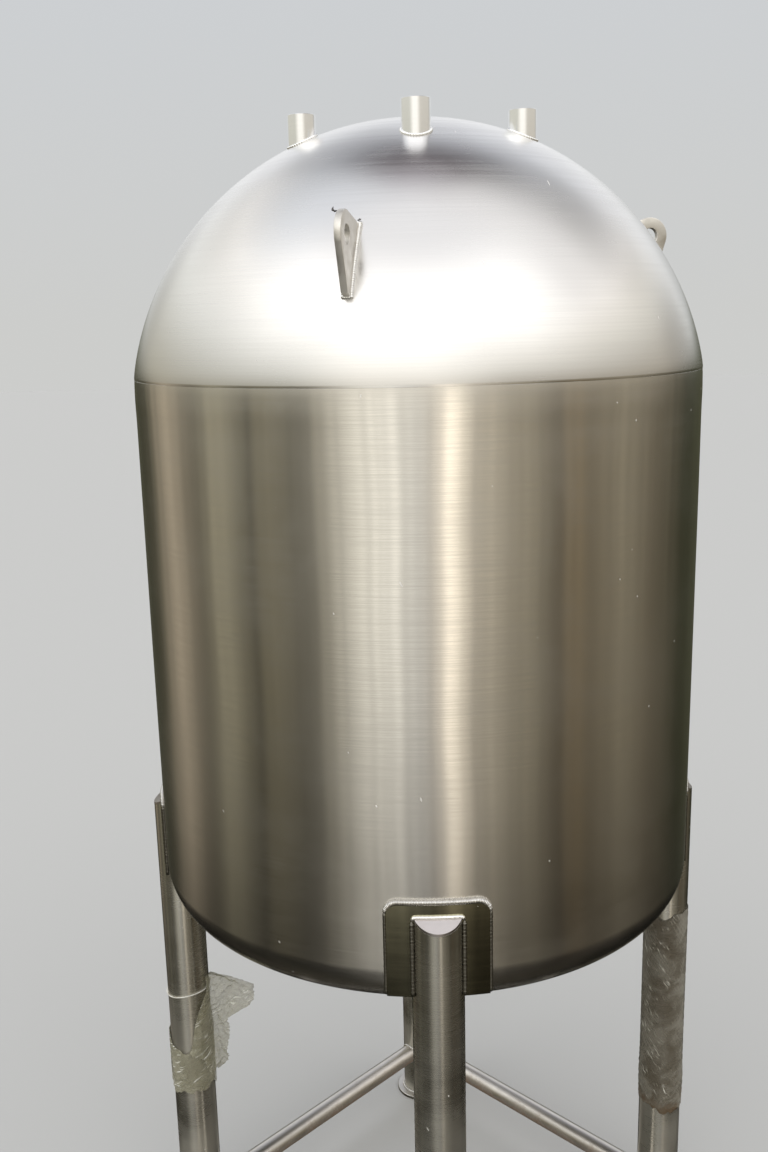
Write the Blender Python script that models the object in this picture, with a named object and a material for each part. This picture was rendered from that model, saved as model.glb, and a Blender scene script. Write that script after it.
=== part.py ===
"""Vertical storage tank: a satin stainless vessel with a deep domed head, standing on four tube legs.

Metres, +Z up. The origin is on the vessel's axis at floor level. Azimuth 0 is the front, -Y, and
azimuths turn towards +X, so the legs stand at 0, 90, 180 and 270 degrees.
"""

import math

import bmesh
import bpy
from mathutils import Matrix, Vector

# The vessel: a rolled shell between a domed top head and a dished bottom head
SHELL_RADIUS = 0.4572
SHELL_HEIGHT = 0.820
SEAM_HEIGHT = 1.684
WALL = 0.0048
CROWN_RADIUS = 0.4636
TOP_KNUCKLE = 0.0238
DISH_RADIUS = 0.8746
BOTTOM_KNUCKLE = 0.0713

# Neighbouring pieces keep this much air between them, as a weld gap does
GAP = 0.0003

# Pipe stubs on the crown, by the (x, y) of their axes
NOZZLE_RADIUS = 0.0211
NOZZLE_BORE = 0.0194
NOZZLE_TOP = SEAM_HEIGHT + 0.3868
NOZZLE_INSIDE = 0.006
NOZZLE_WELD = 0.0045
NOZZLE_PLACES = {"left": (-0.1700, -0.0790), "front": (-0.0020, -0.1965), "right": (0.1642, -0.0810)}

# Lifting lugs: azimuth and the eye's elevation, both seen from the crown's centre of curvature
LUG_PLACES = {"front": (-14.0, 31.5), "right": (104.4, 34.4), "rear": (226.0, 33.0)}
LUG_THICKNESS = 0.0095
LUG_EYE_STANDOFF = 0.0425
LUG_EYE_RADIUS = 0.0305
LUG_HOLE_RADIUS = 0.0127
LUG_ROOT_ABOVE = 5.8
LUG_ROOT_BELOW = 7.7
LUG_TIP_DEPTH = 0.0135

# Legs, with their backing pads, closing caps, foot plates and braces
LEG_RADIUS = 0.0381
LEG_WALL = 0.0030
LEG_CIRCLE = 0.4449
PAD_THICKNESS = 0.0048
PAD_HALF_WIDTH = 0.0725
PAD_BOTTOM = 0.8258
PAD_TOP = 0.9708
PAD_CORNER = 0.0165
CAP_INNER_HEIGHT = 0.9503
CAP_OUTER_HEIGHT = 0.9366
CAP_THICKNESS = 0.0040
FOOT_RADIUS = 0.0540
FOOT_THICKNESS = 0.0080
FOOT_CHAMFER = 0.0010
BRACE_RADIUS = 0.01905
BRACE_WALL = 0.0020
BRACE_HEIGHT = 0.105
LEG_AZIMUTHS = {"front": 0.0, "right": 90.0, "back": 180.0, "left": 270.0}
BRACE_AZIMUTHS = {"front_right": 0.0, "right_back": 90.0, "back_left": 180.0, "left_front": 270.0}

# Clear film left on two legs, and the tie round one of them
FILM_THICKNESS = 0.0050
RIGHT_FILM = (0.285, 0.706)
LEFT_FILM = (0.350, 0.482)
FLAP_THICKNESS = 0.0080
FLAP_OUTLINE = (
    (0.0405, 0.392),
    (0.0541, 0.394),
    (0.0694, 0.412),
    (0.0694, 0.455),
    (0.0743, 0.504),
    (0.0878, 0.512),
    (0.0913, 0.541),
    (0.1149, 0.528),
    (0.1249, 0.541),
    (0.1199, 0.572),
    (0.0430, 0.595),
    (0.0405, 0.530),
)
TIE_HEIGHT = 0.563
TIE_SLOPE = 0.15
TIE_THICKNESS = 0.0024

# How finely round pieces are divided
VESSEL_STEPS = 72
TUBE_STEPS = 32
RING_STEPS = 36

SHELL_BOTTOM = SEAM_HEIGHT - SHELL_HEIGHT
PAD_OUTER = SHELL_RADIUS + GAP + PAD_THICKNESS
LEG_OUTER = LEG_CIRCLE + LEG_RADIUS
CROWN_CENTRE = SEAM_HEIGHT + GAP - math.sqrt(
    (CROWN_RADIUS - TOP_KNUCKLE) ** 2 - (SHELL_RADIUS - TOP_KNUCKLE) ** 2
)


def clear_scene():
    for obj in list(bpy.data.objects):
        bpy.data.objects.remove(obj, do_unlink=True)


def metal(name, colour, roughness):
    material = bpy.data.materials.new(name)
    material.use_nodes = True
    shader = material.node_tree.nodes["Principled BSDF"]
    shader.inputs["Base Color"].default_value = (*colour, 1.0)
    shader.inputs["Metallic"].default_value = 1.0
    shader.inputs["Roughness"].default_value = roughness
    return material


def plastic(name, colour, roughness, alpha):
    material = metal(name, colour, roughness)
    shader = material.node_tree.nodes["Principled BSDF"]
    shader.inputs["Metallic"].default_value = 0.0
    shader.inputs["Alpha"].default_value = alpha
    return material


def place(name, mesh, material, azimuth=0.0):
    """Add a mesh as an object, turned about the vessel's axis to its azimuth."""
    mesh.materials.clear()
    mesh.materials.append(material)
    obj = bpy.data.objects.new(name, mesh)
    obj.rotation_euler.z = math.radians(azimuth)
    bpy.context.scene.collection.objects.link(obj)
    return obj


def finish_mesh(shape, name, sharp_degrees=35.0):
    """Turn a bmesh into a mesh with its faces outwards, smooth but for its sharp edges."""
    bmesh.ops.remove_doubles(shape, verts=shape.verts, dist=1e-5)
    bmesh.ops.recalc_face_normals(shape, faces=shape.faces)
    mesh = bpy.data.meshes.new(name)
    shape.to_mesh(mesh)
    shape.free()
    mesh.shade_smooth()
    mesh.set_sharp_from_angle(angle=math.radians(sharp_degrees))
    return mesh


def turned(name, profile, steps, closed=True):
    """Turn a profile of (radius, height) points about the Z axis."""
    shape = bmesh.new()
    verts = [shape.verts.new((radius, 0.0, height)) for radius, height in profile]
    edges = [shape.edges.new(pair) for pair in zip(verts, verts[1:])]
    if closed:
        edges.append(shape.edges.new((verts[-1], verts[0])))
    bmesh.ops.spin(
        shape, geom=verts + edges, cent=(0, 0, 0), axis=(0, 0, 1), angle=2 * math.pi, steps=steps
    )
    return finish_mesh(shape, name)


def tube(name, outer, inner, low, high, steps=TUBE_STEPS):
    return turned(name, [(outer, low), (outer, high), (inner, high), (inner, low)], steps)


def rod(name, radius, low, high, steps=TUBE_STEPS):
    """A solid round bar along Z."""
    profile = [(0.0, low), (radius, low), (radius, high), (0.0, high)]
    return turned(name, profile, steps, closed=False)


def moved(mesh, matrix):
    mesh.transform(matrix)
    return mesh


def block(name, low, high):
    """A box between two corners."""
    shape = bmesh.new()
    bmesh.ops.create_cube(shape, size=1.0)
    size = [b - a for a, b in zip(low, high)]
    middle = [(a + b) / 2 for a, b in zip(low, high)]
    shape.transform(Matrix.Translation(middle) @ Matrix.Diagonal((*size, 1.0)))
    return finish_mesh(shape, name)


def shaped(mesh, *steps):
    """The mesh after Booleans: each step is an operation and the mesh that it uses."""
    body = bpy.data.objects.new("body", mesh)
    bpy.context.scene.collection.objects.link(body)
    helpers = []
    for operation, other in steps:
        helper = bpy.data.objects.new("helper", other)
        bpy.context.scene.collection.objects.link(helper)
        helpers.append(helper)
        modifier = body.modifiers.new(operation.title(), "BOOLEAN")
        modifier.operation = operation
        modifier.solver = "EXACT"
        modifier.object = helper
    bpy.context.view_layer.update()
    graph = bpy.context.evaluated_depsgraph_get()
    result = bpy.data.meshes.new_from_object(body.evaluated_get(graph))
    for obj in [body, *helpers]:
        bpy.data.objects.remove(obj, do_unlink=True)
    result.shade_smooth()
    result.set_sharp_from_angle(angle=math.radians(35.0))
    return result


def plate(name, outline, thickness):
    """A flat plate from its outline's points in the middle plane and a vector across it."""
    shape = bmesh.new()
    face = shape.faces.new([shape.verts.new(Vector(point) - Vector(thickness) / 2) for point in outline])
    pushed = bmesh.ops.extrude_face_region(shape, geom=[face])
    new_verts = [v for v in pushed["geom"] if isinstance(v, bmesh.types.BMVert)]
    bmesh.ops.translate(shape, verts=new_verts, vec=thickness)
    return finish_mesh(shape, name)


def arc(centre, radius, start, end, steps):
    """Points on an arc, as (radius, height), with angles in degrees up from horizontal."""
    angles = [math.radians(start + (end - start) * i / steps) for i in range(steps + 1)]
    return [(centre[0] + radius * math.cos(a), centre[1] + radius * math.sin(a)) for a in angles]


def head_curve(crown, knuckle, offset, rim_steps, crown_steps):
    """A dished head's curve from its rim at height 0 to its apex, moved out by the offset."""
    knuckle_centre = (SHELL_RADIUS - knuckle, 0.0)
    drop = math.sqrt((crown - knuckle) ** 2 - (SHELL_RADIUS - knuckle) ** 2)
    meeting = math.degrees(math.atan2(drop, SHELL_RADIUS - knuckle))
    rim = arc(knuckle_centre, knuckle + offset, 0.0, meeting, rim_steps)
    cap = arc((0.0, -drop), crown + offset, meeting, 90.0, crown_steps)
    cap[-1] = (0.0, cap[-1][1])
    return rim + cap[1:]


def crown_height(radius, offset=0.0):
    """Height of the top head's outside, or of a surface that far off it, at a distance from the axis."""
    return CROWN_CENTRE + math.sqrt((CROWN_RADIUS + offset) ** 2 - radius**2)


def make_shell(material):
    mesh = tube(
        "shell", SHELL_RADIUS, SHELL_RADIUS - WALL, SHELL_BOTTOM, SEAM_HEIGHT, VESSEL_STEPS
    )
    place("shell", mesh, material)


def make_top_head(material):
    outer = head_curve(CROWN_RADIUS, TOP_KNUCKLE, 0.0, 2, 15)
    inner = head_curve(CROWN_RADIUS, TOP_KNUCKLE, -WALL, 1, 9)
    profile = [(r, SEAM_HEIGHT + GAP + z) for r, z in inner[::-1] + outer]
    head = turned("top_head", profile, VESSEL_STEPS, closed=False)
    holes = []
    for x, y in NOZZLE_PLACES.values():
        drill = rod("drill", NOZZLE_RADIUS + GAP, SEAM_HEIGHT, NOZZLE_TOP)
        holes.append(("DIFFERENCE", moved(drill, Matrix.Translation((x, y, 0)))))
    place("top_head", shaped(head, *holes), material)


def make_bottom_head(material):
    outer = head_curve(DISH_RADIUS, BOTTOM_KNUCKLE, 0.0, 6, 6)
    inner = head_curve(DISH_RADIUS, BOTTOM_KNUCKLE, -WALL, 3, 4)
    profile = [(r, SHELL_BOTTOM - GAP - z) for r, z in inner[::-1] + outer]
    place("bottom_head", turned("bottom_head", profile, VESSEL_STEPS, closed=False), material)


def make_nozzles(material):
    """A pipe stub set through the head, so that its end stands a little inside."""
    for name, (x, y) in NOZZLE_PLACES.items():
        lowest = crown_height(math.hypot(x, y) + NOZZLE_RADIUS) - WALL - NOZZLE_INSIDE
        mesh = tube("nozzle", NOZZLE_RADIUS, NOZZLE_BORE, lowest, NOZZLE_TOP)
        place(f"nozzle_{name}", moved(mesh, Matrix.Translation((x, y, 0))), material)


def make_nozzle_welds(material):
    """A fillet that follows the saddle where the upright pipe meets the round head."""
    near = NOZZLE_RADIUS + GAP
    bulge = (near + 0.7 * NOZZLE_WELD, 0.55 * NOZZLE_WELD)
    section = ((near, 0.0), (near + NOZZLE_WELD, 0.0), bulge, (near, NOZZLE_WELD))
    for name, middle in NOZZLE_PLACES.items():
        shape = bmesh.new()
        rings = []
        for step in range(RING_STEPS):
            angle = 2 * math.pi * step / RING_STEPS
            ring = []
            for distance, rise in section:
                x = middle[0] + distance * math.cos(angle)
                y = middle[1] + distance * math.sin(angle)
                ring.append(shape.verts.new((x, y, crown_height(math.hypot(x, y), GAP) + rise)))
            rings.append(ring)
        for here, there in zip(rings, rings[1:] + rings[:1]):
            for i in range(len(section)):
                j = (i + 1) % len(section)
                shape.faces.new((here[i], here[j], there[j], there[i]))
        place(f"nozzle_weld_{name}", finish_mesh(shape, "nozzle_weld", 60.0), material)


def tangent_angle(point, centre, radius, side):
    """Angle on the circle where a line from the point touches it, on the side given by the sign."""
    dx, dz = point[0] - centre[0], point[1] - centre[1]
    return math.atan2(dz, dx) + side * math.acos(radius / math.hypot(dx, dz))


def lug_outline(elevation):
    """The lug in its own upright plane, as (distance from the axis, height)."""
    centre = (0.0, CROWN_CENTRE)
    root = CROWN_RADIUS + GAP
    foot = arc(centre, root, elevation + LUG_ROOT_ABOVE, elevation - LUG_ROOT_BELOW, 12)
    tip = arc(centre, root + LUG_TIP_DEPTH, elevation - LUG_ROOT_BELOW, 0.0, 1)[0]
    eye = arc(centre, root + LUG_EYE_STANDOFF, elevation, 0.0, 1)[0]
    low = math.degrees(tangent_angle(tip, eye, LUG_EYE_RADIUS, 1.0))
    high = math.degrees(tangent_angle(foot[0], eye, LUG_EYE_RADIUS, -1.0))
    if high < low:
        high += 360.0
    return foot + [tip] + arc(eye, LUG_EYE_RADIUS, low, high, 14), eye


def make_lugs(material):
    """Thick plates cut to a round eye, each standing on the head in a plane through the axis."""
    for name, (azimuth, elevation) in LUG_PLACES.items():
        outline, eye = lug_outline(elevation)
        blank = plate("lug", [(0.0, -r, z) for r, z in outline], (LUG_THICKNESS, 0.0, 0.0))
        drill = rod("drill", LUG_HOLE_RADIUS, -LUG_THICKNESS, LUG_THICKNESS)
        drill.transform(
            Matrix.Translation((0, -eye[0], eye[1])) @ Matrix.Rotation(math.pi / 2, 4, "Y")
        )
        place(f"lifting_lug_{name}", shaped(blank, ("DIFFERENCE", drill)), material, azimuth)


def vessel_envelope(clearance):
    """Everything that a leg is coped round: the dished bottom, and from the pads up a plain cylinder."""
    dish = head_curve(DISH_RADIUS, BOTTOM_KNUCKLE, clearance, 48, 24)
    pad_edge = PAD_BOTTOM - clearance
    below = [(r, SHELL_BOTTOM - GAP - z) for r, z in dish[::-1]]
    below = [point for point in below if point[1] < pad_edge]
    side = PAD_OUTER + clearance
    top = PAD_TOP + LEG_RADIUS
    profile = below + [(below[-1][0] + clearance, pad_edge), (side, pad_edge), (side, top), (0.0, top)]
    return turned("envelope", profile, 4 * VESSEL_STEPS, closed=False)


def cap_plane_block(low, high):
    """A block between two planes that lie along the cap's slope, by their distance from its top."""
    slope = math.atan2(CAP_INNER_HEIGHT - CAP_OUTER_HEIGHT, LEG_OUTER - PAD_OUTER)
    mesh = block("slope", (-2 * LEG_RADIUS, -2 * LEG_RADIUS, low), (2 * LEG_RADIUS, 2 * LEG_RADIUS, high))
    tip = Matrix.Translation((0, -LEG_OUTER, CAP_OUTER_HEIGHT))
    return moved(mesh, tip @ Matrix.Rotation(slope, 4, "X"))


def make_legs(steel, cap_steel, foot_steel):
    """Tubes coped to the vessel, each closed by a sloping half-moon plate and standing on a foot."""
    to_leg = Matrix.Translation((0, -LEG_CIRCLE, 0))
    column = tube("leg", LEG_RADIUS, LEG_RADIUS - LEG_WALL, FOOT_THICKNESS + GAP, PAD_TOP)
    leg = shaped(
        moved(column, to_leg),
        ("DIFFERENCE", vessel_envelope(GAP)),
        ("DIFFERENCE", cap_plane_block(-CAP_THICKNESS - GAP, 2 * LEG_RADIUS)),
    )
    plug = rod("plug", LEG_RADIUS, SHELL_BOTTOM, PAD_TOP)
    cap = shaped(
        moved(plug, to_leg),
        ("INTERSECT", cap_plane_block(-CAP_THICKNESS, 0.0)),
        ("DIFFERENCE", vessel_envelope(GAP)),
    )
    edge = FOOT_RADIUS - FOOT_CHAMFER
    foot = turned(
        "foot",
        [
            (0.0, 0.0),
            (edge, 0.0),
            (FOOT_RADIUS, FOOT_CHAMFER),
            (FOOT_RADIUS, FOOT_THICKNESS - FOOT_CHAMFER),
            (edge, FOOT_THICKNESS),
            (0.0, FOOT_THICKNESS),
        ],
        TUBE_STEPS,
        closed=False,
    )
    foot.transform(to_leg)
    for name, azimuth in LEG_AZIMUTHS.items():
        place(f"leg_{name}", leg.copy(), steel, azimuth)
        place(f"leg_cap_{name}", cap.copy(), cap_steel, azimuth)
        place(f"leg_foot_{name}", foot.copy(), foot_steel, azimuth)


def pad_columns():
    """Across the pad, each column's (distance from the middle, bottom, top), with round upper corners."""
    straight = PAD_HALF_WIDTH - PAD_CORNER
    columns = [(straight * i / 4, PAD_BOTTOM, PAD_TOP) for i in range(-4, 5)]
    for step in range(1, 5):
        angle = math.radians(90.0 * step / 4)
        out = straight + PAD_CORNER * math.sin(angle)
        cut = PAD_CORNER * (1 - math.cos(angle))
        columns.append((out, PAD_BOTTOM, PAD_TOP - cut))
        columns.insert(0, (-out, PAD_BOTTOM, PAD_TOP - cut))
    return columns


def make_pads(material):
    """Backing plates rolled to the shell, with round upper corners."""
    shape = bmesh.new()
    columns = []
    for across, low, high in pad_columns():
        angle = math.asin(across / SHELL_RADIUS)
        column = []
        for radius, height in (
            (SHELL_RADIUS + GAP, low),
            (SHELL_RADIUS + GAP, high),
            (PAD_OUTER, high),
            (PAD_OUTER, low),
        ):
            column.append(
                shape.verts.new((radius * math.sin(angle), -radius * math.cos(angle), height))
            )
        columns.append(column)
    for here, there in zip(columns, columns[1:]):
        for i in range(4):
            j = (i + 1) % 4
            shape.faces.new((here[i], here[j], there[j], there[i]))
    shape.faces.new(columns[0])
    shape.faces.new(columns[-1])
    pad = finish_mesh(shape, "pad")
    for name, azimuth in LEG_AZIMUTHS.items():
        place(f"leg_pad_{name}", pad.copy(), material, azimuth)


def make_braces(material):
    """Low tubes from leg to leg, coped at both ends to the legs' round sides."""
    half = LEG_CIRCLE / math.sqrt(2)
    bar = tube("brace", BRACE_RADIUS, BRACE_RADIUS - BRACE_WALL, -half, half, 24)
    bar.transform(Matrix.Translation((0, -half, BRACE_HEIGHT)) @ Matrix.Rotation(math.pi / 2, 4, "Y"))
    ends = []
    for side in (-half, half):
        post = rod("post", LEG_RADIUS + GAP, 0.0, 2 * BRACE_HEIGHT, 2 * TUBE_STEPS)
        ends.append(("DIFFERENCE", moved(post, Matrix.Translation((side, -half, 0)))))
    brace = shaped(bar, *ends)
    for name, azimuth in BRACE_AZIMUTHS.items():
        place(f"brace_{name}", brace.copy(), material, azimuth + 45.0)


def make_films(material):
    """Plain solids of the clear film: a sleeve on each leg, and the loose flap on the left one."""
    inner = LEG_RADIUS + GAP
    outer = inner + FILM_THICKNESS
    right = tube("film", outer, inner, *RIGHT_FILM)
    right.transform(Matrix.Translation((LEG_CIRCLE, 0, 0)))
    place("film_wrap_right", right, material)
    flap = plate("flap", [(x, 0.0, z) for x, z in FLAP_OUTLINE], (0.0, FLAP_THICKNESS, 0.0))
    left = shaped(tube("film", outer, inner, *LEFT_FILM), ("UNION", flap))
    left.transform(Matrix.Translation((-LEG_CIRCLE, 0, 0)))
    place("film_wrap_left", left, material)


def make_tie(material):
    radius = TIE_THICKNESS / 2
    circle = arc((LEG_RADIUS + GAP + radius, TIE_HEIGHT), radius, 0.0, 360.0, 8)[:-1]
    ring = turned("tie", circle, RING_STEPS)
    tilt = Matrix.Identity(4)
    tilt[2][0] = TIE_SLOPE
    place("leg_tie_left", moved(ring, Matrix.Translation((-LEG_CIRCLE, 0, 0)) @ tilt), material)


clear_scene()
satin = metal("satin_stainless", (0.60, 0.58, 0.54), 0.32)
polished = metal("polished_stainless", (0.56, 0.54, 0.50), 0.20)
pipe = metal("pipe_stainless", (0.62, 0.60, 0.56), 0.28)
weld = metal("weld_stainless", (0.66, 0.64, 0.60), 0.38)
film = plastic("clear_film", (0.80, 0.79, 0.74), 0.25, 0.45)
tie = plastic("white_tie", (0.86, 0.85, 0.80), 0.55, 1.0)
make_shell(satin)
make_top_head(satin)
make_bottom_head(satin)
make_nozzles(pipe)
make_nozzle_welds(weld)
make_lugs(pipe)
make_pads(polished)
make_legs(pipe, satin, pipe)
make_braces(pipe)
make_films(film)
make_tie(tie)
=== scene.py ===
"""The vertical storage tank's finish: satin stainless on every plate and tube, rippled welds, and old film.

Metres, +Z up, on the frame's axes: the origin is on the vessel's axis at floor level and the front leg
stands at -Y. Azimuths turn from the front, -Y, towards +X.
"""

import bmesh
import bpy
import numpy as np
from mathutils import Matrix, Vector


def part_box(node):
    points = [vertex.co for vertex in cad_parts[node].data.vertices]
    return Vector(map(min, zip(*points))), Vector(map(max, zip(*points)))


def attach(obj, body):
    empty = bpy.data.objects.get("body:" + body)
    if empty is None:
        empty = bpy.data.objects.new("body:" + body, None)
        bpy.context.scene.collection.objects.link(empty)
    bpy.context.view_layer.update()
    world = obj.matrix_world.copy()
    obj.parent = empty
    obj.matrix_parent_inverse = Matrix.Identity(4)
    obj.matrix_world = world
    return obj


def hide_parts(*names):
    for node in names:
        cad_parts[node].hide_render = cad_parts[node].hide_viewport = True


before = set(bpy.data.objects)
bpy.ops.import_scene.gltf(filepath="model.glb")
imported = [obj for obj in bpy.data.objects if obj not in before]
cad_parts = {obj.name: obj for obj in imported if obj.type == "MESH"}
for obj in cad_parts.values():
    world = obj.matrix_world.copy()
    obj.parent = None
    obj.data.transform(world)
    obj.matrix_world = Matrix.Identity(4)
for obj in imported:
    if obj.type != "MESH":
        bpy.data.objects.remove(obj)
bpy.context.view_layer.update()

# The camera stands a little left of the front leg, looks down and leans slightly. Its place was found
# from the outlines of the shell, the dome and the bottom head.
camera = bpy.data.objects.new("camera", bpy.data.cameras.new("camera"))
bpy.context.scene.collection.objects.link(camera)
camera.data.lens = 35.457
camera.data.sensor_width = 36.0
camera.data.clip_start = 0.05
eye = Matrix.Translation((-0.0728, -1.9033, 1.7706))
heading = Matrix.Rotation(np.radians(-0.344), 4, "Z")
pitch = Matrix.Rotation(np.radians(90.0 - 12.819), 4, "X")
lean = Matrix.Rotation(np.radians(-1.366), 4, "Z")
camera.matrix_world = eye @ heading @ pitch @ lean
bpy.context.scene.camera = camera

# The shell is a rolled stainless cylinder, satin brushed round and round, with its upper edge eased where
# the head is welded on. No long seam shows, and the 4.8 mm wall is a guess.
shell_low, shell_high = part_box("shell")
shell_radius = shell_high.x
seam_height = shell_high.z
shell_bottom = shell_low.z
wall = 0.0048
gap = 0.0003
sharp_fold = 38.0


def surface(points, around=False, along=False, sharp=sharp_fold):
    """A mesh of quads through a grid of points, shaped (rows, columns, 3).

    Each quad joins four neighbours in the grid. Around joins the last column to the first, and along
    joins the last row to the first. Points that fall together, as at a pole, become one.
    """
    rows, columns = points.shape[:2]
    index = np.arange(rows * columns).reshape(rows, columns)
    if along:
        index = np.vstack([index, index[:1]])
    if around:
        index = np.hstack([index, index[:, :1]])
    quads = np.stack([index[:-1, :-1], index[:-1, 1:], index[1:, 1:], index[1:, :-1]], -1).reshape(-1, 4)
    mesh = bpy.data.meshes.new("surface")
    mesh.from_pydata(points.reshape(-1, 3).tolist(), [], quads.tolist())
    shape = bmesh.new()
    shape.from_mesh(mesh)
    bmesh.ops.remove_doubles(shape, verts=shape.verts, dist=2e-6)
    bmesh.ops.recalc_face_normals(shape, faces=shape.faces)
    shape.to_mesh(mesh)
    shape.free()
    mesh.shade_smooth()
    mesh.set_sharp_from_angle(angle=np.radians(sharp))
    return mesh


def full_turn(steps):
    """Angles once round, in equal steps."""
    return np.linspace(0.0, 2 * np.pi, steps, endpoint=False)


def revolve(profile, steps):
    """Points of a profile, given as rows of (radius, height), turned about Z.

    Each point becomes a ring: x is the radius times the cosine of the angle and y times its sine.
    """
    angle = full_turn(steps)
    radius, height = np.asarray(profile, float).T
    ring = np.stack([np.cos(angle), np.sin(angle)])
    x, y = radius[:, None] * ring[0], radius[:, None] * ring[1]
    return np.stack([x, y, np.broadcast_to(height[:, None], x.shape)], -1)


def resampled(corners, step):
    """An outline of straight stretches with a point at least every step along each stretch."""
    corners = np.asarray(corners, float)
    stretches = zip(corners[:-1], corners[1:])
    counts = np.maximum(1, np.ceil(np.linalg.norm(np.diff(corners, axis=0), axis=1) / step).astype(int))
    parts = [
        a + (b - a) * np.linspace(0, 1, n, endpoint=False)[:, None]
        for (a, b), n in zip(stretches, counts)
    ]
    return np.concatenate([*parts, corners[-1:]])


def turned_to(points, azimuth):
    """Points built at the front, turned about Z to an azimuth in degrees."""
    turn = np.radians(azimuth)
    c, s = np.cos(turn), np.sin(turn)
    return points @ np.array([[c, s, 0.0], [-s, c, 0.0], [0.0, 0.0, 1.0]])


def piece(name, mesh, material, replaced=()):
    """Adds a finished mesh to the tank, in place of the frame's nodes that it stands for."""
    mesh.name = name
    mesh.materials.clear()
    mesh.materials.append(material)
    obj = bpy.data.objects.new(name, mesh)
    bpy.context.scene.collection.objects.link(obj)
    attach(obj, "root")
    if replaced:
        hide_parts(*replaced)
    return obj


def joined(meshes):
    """Several meshes as one, each kept as its own closed body."""
    shape = bmesh.new()
    for mesh in meshes:
        shape.from_mesh(mesh)
    together = bpy.data.meshes.new("joined")
    shape.to_mesh(together)
    shape.free()
    return together


def feed(made, sockets):
    """Sets a shader node's inputs to values, or links them to other nodes' outputs."""
    for key, value in sockets.items():
        if isinstance(value, bpy.types.NodeSocket):
            made.id_data.links.new(value, made.inputs[key])
        else:
            made.inputs[key].default_value = value


def node(tree, kind, sockets=None, **settings):
    """A shader node with its settings and inputs."""
    made = tree.nodes.new("ShaderNode" + kind)
    for key, value in settings.items():
        setattr(made, key, value)
    feed(made, sockets or {})
    return made


def tree_of(*values):
    """The node tree of the first value that is another node's output."""
    return next(value.id_data for value in values if isinstance(value, bpy.types.NodeSocket))


def object_place(tree):
    """The place on the object itself, in metres."""
    return node(tree, "TexCoord").outputs["Object"]


def math(operation, a, b=0.0, c=0.0, clamp=False):
    """The outcome of a sum on up to three values."""
    return node(tree_of(a, b, c), "Math", {0: a, 1: b, 2: c}, operation=operation, use_clamp=clamp).outputs[0]


def vector(operation, a, b=(0.0, 0.0, 0.0), c=(0.0, 0.0, 0.0)):
    """The outcome of a sum on up to three vectors."""
    made = node(tree_of(a, b, c), "VectorMath", {0: a, 1: b, 2: c}, operation=operation)
    return made.outputs["Value" if operation in ("LENGTH", "DOT_PRODUCT") else "Vector"]


def rotated(place, angles):
    """A place turned by three angles."""
    inputs = {"Vector": place, "Rotation": angles}
    return node(place.id_data, "VectorRotate", inputs, rotation_type="EULER_XYZ").outputs[0]


def noise(place, scale, detail, roughness=0.5, distortion=0.0):
    """Soft noise, whose first output is a value and second a colour."""
    inputs = {"Vector": place, "Scale": scale, "Detail": detail}
    inputs |= {"Roughness": roughness, "Distortion": distortion}
    return node(place.id_data, "TexNoise", inputs).outputs


def mixed(share, a, b, blend="MIX"):
    """Two colours mixed: a where the share is 0, and b where it is 1."""
    a, b = ((*c, 1.0) if isinstance(c, tuple) else c for c in (a, b))
    inputs = {"Factor": share, "A": a, "B": b}
    made = node(tree_of(share, a, b), "Mix", inputs, data_type="RGBA", blend_type=blend)
    return made.outputs["Result"]


def bumped(height, distance, strength=1.0):
    """The direction a surface faces over a relief of that height."""
    made = node(height.id_data, "Bump", {"Height": height, "Strength": strength, "Distance": distance})
    return made.outputs["Normal"]


def new_material(name):
    """A material, with its node tree and its shader."""
    material = bpy.data.materials.new(name)
    material.use_nodes = True
    return material, material.node_tree, material.node_tree.nodes["Principled BSDF"]


def spread(value, low, high, new_low=0.0, new_high=1.0):
    """A value's stretch from low to high, eased on to a new stretch."""
    sockets = {"Value": value, "From Min": low, "From Max": high, "To Min": new_low, "To Max": new_high}
    return node(value.id_data, "MapRange", sockets, interpolation_type="SMOOTHSTEP").outputs["Result"]


def group(name, inputs, outputs):
    """A shader node group with inputs of given kinds, and outputs that are plain values."""
    tree = bpy.data.node_groups.new(name, "ShaderNodeTree")
    for label, kind in inputs.items():
        tree.interface.new_socket(label, in_out="INPUT", socket_type="NodeSocket" + kind)
    for label in outputs:
        tree.interface.new_socket(label, in_out="OUTPUT", socket_type="NodeSocketFloat")
    return tree, tree.nodes.new("NodeGroupInput"), tree.nodes.new("NodeGroupOutput")


# Abrasive grain: long fine lines, drawn out along the belt's run and close together across it.
grain, given, wanted = group("abrasive_grain", {"Stretch": "Vector"}, ["Height", "Tone"])
drawn = vector("MULTIPLY", object_place(grain), given.outputs["Stretch"])
fine = math("MULTIPLY", noise(drawn, 1.0, 3.0, 0.65)[0], 0.88)
both = math("MULTIPLY_ADD", noise(drawn, 0.3, 2.0)[0], 0.12, fine)
feed(wanted, {"Height": both, "Tone": spread(both, 0.36, 0.64)})

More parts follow.
